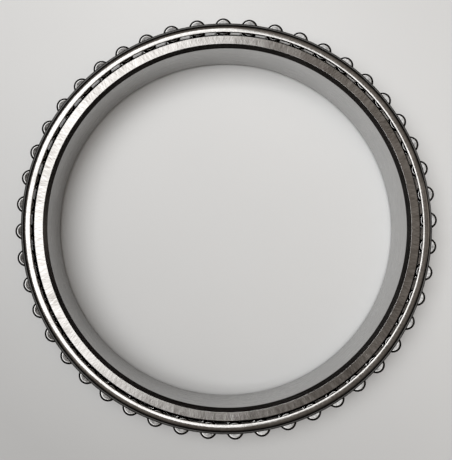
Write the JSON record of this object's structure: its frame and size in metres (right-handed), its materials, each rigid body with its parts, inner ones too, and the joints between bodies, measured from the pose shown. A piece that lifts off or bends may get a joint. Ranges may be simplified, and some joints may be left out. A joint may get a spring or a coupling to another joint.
{
  "type": "tapered roller bearing inner assembly",
  "caption": "Thin-section tapered roller bearing cone assembly: inner ring with conical raceway, pressed steel cage and a full row of tapered rollers, without the outer ring.",
  "frame": {"origin": "on the bearing axis at the back face of the inner ring, which the part rests on", "axes": "+Z along the bearing axis, from the back face (large roller ends) to the front face (small roller ends); +X and +Y across it"},
  "size_m": [0.2404, 0.2404, 0.0285],
  "materials": {
    "ring_steel": "ground and honed bearing steel",
    "cage_steel": "pressed sheet steel, tumbled, slightly scuffed",
    "roller_steel": "fine ground bearing steel"
  },
  "bodies": {
    "inner_ring": {"inner_ring": "ring_steel"},
    "cage": {"cage": "cage_steel"},
    "roller_01": {"roller_01": "roller_steel"},
    "roller_02": {"roller_02": "roller_steel"},
    "roller_03": {"roller_03": "roller_steel"},
    "roller_04": {"roller_04": "roller_steel"},
    "roller_05": {"roller_05": "roller_steel"},
    "roller_06": {"roller_06": "roller_steel"},
    "roller_07": {"roller_07": "roller_steel"},
    "roller_08": {"roller_08": "roller_steel"},
    "roller_09": {"roller_09": "roller_steel"},
    "roller_10": {"roller_10": "roller_steel"},
    "roller_11": {"roller_11": "roller_steel"},
    "roller_12": {"roller_12": "roller_steel"},
    "roller_13": {"roller_13": "roller_steel"},
    "roller_14": {"roller_14": "roller_steel"},
    "roller_15": {"roller_15": "roller_steel"},
    "roller_16": {"roller_16": "roller_steel"},
    "roller_17": {"roller_17": "roller_steel"},
    "roller_18": {"roller_18": "roller_steel"},
    "roller_19": {"roller_19": "roller_steel"},
    "roller_20": {"roller_20": "roller_steel"},
    "roller_21": {"roller_21": "roller_steel"},
    "roller_22": {"roller_22": "roller_steel"},
    "roller_23": {"roller_23": "roller_steel"},
    "roller_24": {"roller_24": "roller_steel"},
    "roller_25": {"roller_25": "roller_steel"},
    "roller_26": {"roller_26": "roller_steel"},
    "roller_27": {"roller_27": "roller_steel"},
    "roller_28": {"roller_28": "roller_steel"},
    "roller_29": {"roller_29": "roller_steel"},
    "roller_30": {"roller_30": "roller_steel"},
    "roller_31": {"roller_31": "roller_steel"},
    "roller_32": {"roller_32": "roller_steel"},
    "roller_33": {"roller_33": "roller_steel"},
    "roller_34": {"roller_34": "roller_steel"},
    "roller_35": {"roller_35": "roller_steel"},
    "roller_36": {"roller_36": "roller_steel"},
    "roller_37": {"roller_37": "roller_steel"},
    "roller_38": {"roller_38": "roller_steel"},
    "roller_39": {"roller_39": "roller_steel"},
    "roller_40": {"roller_40": "roller_steel"},
    "roller_41": {"roller_41": "roller_steel"},
    "roller_42": {"roller_42": "roller_steel"},
    "roller_43": {"roller_43": "roller_steel"},
    "roller_44": {"roller_44": "roller_steel"},
    "roller_45": {"roller_45": "roller_steel"},
    "roller_46": {"roller_46": "roller_steel"},
    "roller_47": {"roller_47": "roller_steel"},
    "roller_48": {"roller_48": "roller_steel"}
  },
  "joints": [
    {"name": "cage_spin", "type": "hinge", "parent": "inner_ring", "child": "cage", "pos_m": [0, 0, 0.0154], "axis": [0, 0, 1], "continuous": true},
    {"name": "roller_01_spin", "type": "hinge", "parent": "cage", "child": "roller_01", "pos_m": [0.11339, 0.00327, 0.01544], "axis": [-0.2469, -0.0071, 0.969], "continuous": true},
    {"name": "roller_02_spin", "type": "hinge", "parent": "cage", "child": "roller_02", "pos_m": [0.11199, 0.01804, 0.01544], "axis": [-0.2439, -0.0393, 0.969], "continuous": true},
    {"name": "roller_03_spin", "type": "hinge", "parent": "cage", "child": "roller_03", "pos_m": [0.10868, 0.0325, 0.01544], "axis": [-0.2366, -0.0708, 0.969], "continuous": true},
    {"name": "roller_04_spin", "type": "hinge", "parent": "cage", "child": "roller_04", "pos_m": [0.10351, 0.04641, 0.01544], "axis": [-0.2254, -0.1011, 0.969], "continuous": true},
    {"name": "roller_05_spin", "type": "hinge", "parent": "cage", "child": "roller_05", "pos_m": [0.09656, 0.05952, 0.01544], "axis": [-0.2103, -0.1296, 0.969], "continuous": true},
    {"name": "roller_06_spin", "type": "hinge", "parent": "cage", "child": "roller_06", "pos_m": [0.08797, 0.07162, 0.01544], "axis": [-0.1915, -0.1559, 0.969], "continuous": true},
    {"name": "roller_07_spin", "type": "hinge", "parent": "cage", "child": "roller_07", "pos_m": [0.07787, 0.08249, 0.01544], "axis": [-0.1696, -0.1796, 0.969], "continuous": true},
    {"name": "roller_08_spin", "type": "hinge", "parent": "cage", "child": "roller_08", "pos_m": [0.06643, 0.09194, 0.01544], "axis": [-0.1447, -0.2002, 0.969], "continuous": true},
    {"name": "roller_09_spin", "type": "hinge", "parent": "cage", "child": "roller_09", "pos_m": [0.05387, 0.09983, 0.01544], "axis": [-0.1173, -0.2174, 0.969], "continuous": true},
    {"name": "roller_10_spin", "type": "hinge", "parent": "cage", "child": "roller_10", "pos_m": [0.04037, 0.10601, 0.01544], "axis": [-0.0879, -0.2308, 0.969], "continuous": true},
    {"name": "roller_11_spin", "type": "hinge", "parent": "cage", "child": "roller_11", "pos_m": [0.02619, 0.11037, 0.01544], "axis": [-0.057, -0.2403, 0.969], "continuous": true},
    {"name": "roller_12_spin", "type": "hinge", "parent": "cage", "child": "roller_12", "pos_m": [0.01156, 0.11284, 0.01544], "axis": [-0.0252, -0.2457, 0.969], "continuous": true},
    {"name": "roller_13_spin", "type": "hinge", "parent": "cage", "child": "roller_13", "pos_m": [-0.00327, 0.11339, 0.01544], "axis": [0.0071, -0.2469, 0.969], "continuous": true},
    {"name": "roller_14_spin", "type": "hinge", "parent": "cage", "child": "roller_14", "pos_m": [-0.01804, 0.11199, 0.01544], "axis": [0.0393, -0.2439, 0.969], "continuous": true},
    {"name": "roller_15_spin", "type": "hinge", "parent": "cage", "child": "roller_15", "pos_m": [-0.0325, 0.10868, 0.01544], "axis": [0.0708, -0.2366, 0.969], "continuous": true},
    {"name": "roller_16_spin", "type": "hinge", "parent": "cage", "child": "roller_16", "pos_m": [-0.04641, 0.10351, 0.01544], "axis": [0.1011, -0.2254, 0.969], "continuous": true},
    {"name": "roller_17_spin", "type": "hinge", "parent": "cage", "child": "roller_17", "pos_m": [-0.05952, 0.09656, 0.01544], "axis": [0.1296, -0.2103, 0.969], "continuous": true},
    {"name": "roller_18_spin", "type": "hinge", "parent": "cage", "child": "roller_18", "pos_m": [-0.07162, 0.08797, 0.01544], "axis": [0.1559, -0.1915, 0.969], "continuous": true},
    {"name": "roller_19_spin", "type": "hinge", "parent": "cage", "child": "roller_19", "pos_m": [-0.08249, 0.07787, 0.01544], "axis": [0.1796, -0.1696, 0.969], "continuous": true},
    {"name": "roller_20_spin", "type": "hinge", "parent": "cage", "child": "roller_20", "pos_m": [-0.09194, 0.06643, 0.01544], "axis": [0.2002, -0.1447, 0.969], "continuous": true},
    {"name": "roller_21_spin", "type": "hinge", "parent": "cage", "child": "roller_21", "pos_m": [-0.09983, 0.05387, 0.01544], "axis": [0.2174, -0.1173, 0.969], "continuous": true},
    {"name": "roller_22_spin", "type": "hinge", "parent": "cage", "child": "roller_22", "pos_m": [-0.10601, 0.04037, 0.01544], "axis": [0.2308, -0.0879, 0.969], "continuous": true},
    {"name": "roller_23_spin", "type": "hinge", "parent": "cage", "child": "roller_23", "pos_m": [-0.11037, 0.02619, 0.01544], "axis": [0.2403, -0.057, 0.969], "continuous": true},
    {"name": "roller_24_spin", "type": "hinge", "parent": "cage", "child": "roller_24", "pos_m": [-0.11284, 0.01156, 0.01544], "axis": [0.2457, -0.0252, 0.969], "continuous": true},
    {"name": "roller_25_spin", "type": "hinge", "parent": "cage", "child": "roller_25", "pos_m": [-0.11339, -0.00327, 0.01544], "axis": [0.2469, 0.0071, 0.969], "continuous": true},
    {"name": "roller_26_spin", "type": "hinge", "parent": "cage", "child": "roller_26", "pos_m": [-0.11199, -0.01804, 0.01544], "axis": [0.2439, 0.0393, 0.969], "continuous": true},
    {"name": "roller_27_spin", "type": "hinge", "parent": "cage", "child": "roller_27", "pos_m": [-0.10868, -0.0325, 0.01544], "axis": [0.2366, 0.0708, 0.969], "continuous": true},
    {"name": "roller_28_spin", "type": "hinge", "parent": "cage", "child": "roller_28", "pos_m": [-0.10351, -0.04641, 0.01544], "axis": [0.2254, 0.1011, 0.969], "continuous": true},
    {"name": "roller_29_spin", "type": "hinge", "parent": "cage", "child": "roller_29", "pos_m": [-0.09656, -0.05952, 0.01544], "axis": [0.2103, 0.1296, 0.969], "continuous": true},
    {"name": "roller_30_spin", "type": "hinge", "parent": "cage", "child": "roller_30", "pos_m": [-0.08797, -0.07162, 0.01544], "axis": [0.1915, 0.1559, 0.969], "continuous": true},
    {"name": "roller_31_spin", "type": "hinge", "parent": "cage", "child": "roller_31", "pos_m": [-0.07787, -0.08249, 0.01544], "axis": [0.1696, 0.1796, 0.969], "continuous": true},
    {"name": "roller_32_spin", "type": "hinge", "parent": "cage", "child": "roller_32", "pos_m": [-0.06643, -0.09194, 0.01544], "axis": [0.1447, 0.2002, 0.969], "continuous": true},
    {"name": "roller_33_spin", "type": "hinge", "parent": "cage", "child": "roller_33", "pos_m": [-0.05387, -0.09983, 0.01544], "axis": [0.1173, 0.2174, 0.969], "continuous": true},
    {"name": "roller_34_spin", "type": "hinge", "parent": "cage", "child": "roller_34", "pos_m": [-0.04037, -0.10601, 0.01544], "axis": [0.0879, 0.2308, 0.969], "continuous": true},
    {"name": "roller_35_spin", "type": "hinge", "parent": "cage", "child": "roller_35", "pos_m": [-0.02619, -0.11037, 0.01544], "axis": [0.057, 0.2403, 0.969], "continuous": true},
    {"name": "roller_36_spin", "type": "hinge", "parent": "cage", "child": "roller_36", "pos_m": [-0.01156, -0.11284, 0.01544], "axis": [0.0252, 0.2457, 0.969], "continuous": true},
    {"name": "roller_37_spin", "type": "hinge", "parent": "cage", "child": "roller_37", "pos_m": [0.00327, -0.11339, 0.01544], "axis": [-0.0071, 0.2469, 0.969], "continuous": true},
    {"name": "roller_38_spin", "type": "hinge", "parent": "cage", "child": "roller_38", "pos_m": [0.01804, -0.11199, 0.01544], "axis": [-0.0393, 0.2439, 0.969], "continuous": true},
    {"name": "roller_39_spin", "type": "hinge", "parent": "cage", "child": "roller_39", "pos_m": [0.0325, -0.10868, 0.01544], "axis": [-0.0708, 0.2366, 0.969], "continuous": true},
    {"name": "roller_40_spin", "type": "hinge", "parent": "cage", "child": "roller_40", "pos_m": [0.04641, -0.10351, 0.01544], "axis": [-0.1011, 0.2254, 0.969], "continuous": true},
    {"name": "roller_41_spin", "type": "hinge", "parent": "cage", "child": "roller_41", "pos_m": [0.05952, -0.09656, 0.01544], "axis": [-0.1296, 0.2103, 0.969], "continuous": true},
    {"name": "roller_42_spin", "type": "hinge", "parent": "cage", "child": "roller_42", "pos_m": [0.07162, -0.08797, 0.01544], "axis": [-0.1559, 0.1915, 0.969], "continuous": true},
    {"name": "roller_43_spin", "type": "hinge", "parent": "cage", "child": "roller_43", "pos_m": [0.08249, -0.07787, 0.01544], "axis": [-0.1796, 0.1696, 0.969], "continuous": true},
    {"name": "roller_44_spin", "type": "hinge", "parent": "cage", "child": "roller_44", "pos_m": [0.09194, -0.06643, 0.01544], "axis": [-0.2002, 0.1447, 0.969], "continuous": true},
    {"name": "roller_45_spin", "type": "hinge", "parent": "cage", "child": "roller_45", "pos_m": [0.09983, -0.05387, 0.01544], "axis": [-0.2174, 0.1173, 0.969], "continuous": true},
    {"name": "roller_46_spin", "type": "hinge", "parent": "cage", "child": "roller_46", "pos_m": [0.10601, -0.04037, 0.01544], "axis": [-0.2308, 0.0879, 0.969], "continuous": true},
    {"name": "roller_47_spin", "type": "hinge", "parent": "cage", "child": "roller_47", "pos_m": [0.11037, -0.02619, 0.01544], "axis": [-0.2403, 0.057, 0.969], "continuous": true},
    {"name": "roller_48_spin", "type": "hinge", "parent": "cage", "child": "roller_48", "pos_m": [0.11284, -0.01156, 0.01544], "axis": [-0.2457, 0.0252, 0.969], "continuous": true}
  ],
  "couplings": [
    {"joint": "roller_01_spin", "follows": "cage_spin", "ratio": 22.087},
    {"joint": "roller_02_spin", "follows": "cage_spin", "ratio": 22.087},
    {"joint": "roller_03_spin", "follows": "cage_spin", "ratio": 22.087},
    {"joint": "roller_04_spin", "follows": "cage_spin", "ratio": 22.087},
    {"joint": "roller_05_spin", "follows": "cage_spin", "ratio": 22.087},
    {"joint": "roller_06_spin", "follows": "cage_spin", "ratio": 22.087},
    {"joint": "roller_07_spin", "follows": "cage_spin", "ratio": 22.087},
    {"joint": "roller_08_spin", "follows": "cage_spin", "ratio": 22.087},
    {"joint": "roller_09_spin", "follows": "cage_spin", "ratio": 22.087},
    {"joint": "roller_10_spin", "follows": "cage_spin", "ratio": 22.087},
    {"joint": "roller_11_spin", "follows": "cage_spin", "ratio": 22.087},
    {"joint": "roller_12_spin", "follows": "cage_spin", "ratio": 22.087},
    {"joint": "roller_13_spin", "follows": "cage_spin", "ratio": 22.087},
    {"joint": "roller_14_spin", "follows": "cage_spin", "ratio": 22.087},
    {"joint": "roller_15_spin", "follows": "cage_spin", "ratio": 22.087},
    {"joint": "roller_16_spin", "follows": "cage_spin", "ratio": 22.087},
    {"joint": "roller_17_spin", "follows": "cage_spin", "ratio": 22.087},
    {"joint": "roller_18_spin", "follows": "cage_spin", "ratio": 22.087},
    {"joint": "roller_19_spin", "follows": "cage_spin", "ratio": 22.087},
    {"joint": "roller_20_spin", "follows": "cage_spin", "ratio": 22.087},
    {"joint": "roller_21_spin", "follows": "cage_spin", "ratio": 22.087},
    {"joint": "roller_22_spin", "follows": "cage_spin", "ratio": 22.087},
    {"joint": "roller_23_spin", "follows": "cage_spin", "ratio": 22.087},
    {"joint": "roller_24_spin", "follows": "cage_spin", "ratio": 22.087},
    {"joint": "roller_25_spin", "follows": "cage_spin", "ratio": 22.087},
    {"joint": "roller_26_spin", "follows": "cage_spin", "ratio": 22.087},
    {"joint": "roller_27_spin", "follows": "cage_spin", "ratio": 22.087},
    {"joint": "roller_28_spin", "follows": "cage_spin", "ratio": 22.087},
    {"joint": "roller_29_spin", "follows": "cage_spin", "ratio": 22.087},
    {"joint": "roller_30_spin", "follows": "cage_spin", "ratio": 22.087},
    {"joint": "roller_31_spin", "follows": "cage_spin", "ratio": 22.087},
    {"joint": "roller_32_spin", "follows": "cage_spin", "ratio": 22.087},
    {"joint": "roller_33_spin", "follows": "cage_spin", "ratio": 22.087},
    {"joint": "roller_34_spin", "follows": "cage_spin", "ratio": 22.087},
    {"joint": "roller_35_spin", "follows": "cage_spin", "ratio": 22.087},
    {"joint": "roller_36_spin", "follows": "cage_spin", "ratio": 22.087},
    {"joint": "roller_37_spin", "follows": "cage_spin", "ratio": 22.087},
    {"joint": "roller_38_spin", "follows": "cage_spin", "ratio": 22.087},
    {"joint": "roller_39_spin", "follows": "cage_spin", "ratio": 22.087},
    {"joint": "roller_40_spin", "follows": "cage_spin", "ratio": 22.087},
    {"joint": "roller_41_spin", "follows": "cage_spin", "ratio": 22.087},
    {"joint": "roller_42_spin", "follows": "cage_spin", "ratio": 22.087},
    {"joint": "roller_43_spin", "follows": "cage_spin", "ratio": 22.087},
    {"joint": "roller_44_spin", "follows": "cage_spin", "ratio": 22.087},
    {"joint": "roller_45_spin", "follows": "cage_spin", "ratio": 22.087},
    {"joint": "roller_46_spin", "follows": "cage_spin", "ratio": 22.087},
    {"joint": "roller_47_spin", "follows": "cage_spin", "ratio": 22.087},
    {"joint": "roller_48_spin", "follows": "cage_spin", "ratio": 22.087}
  ]
}
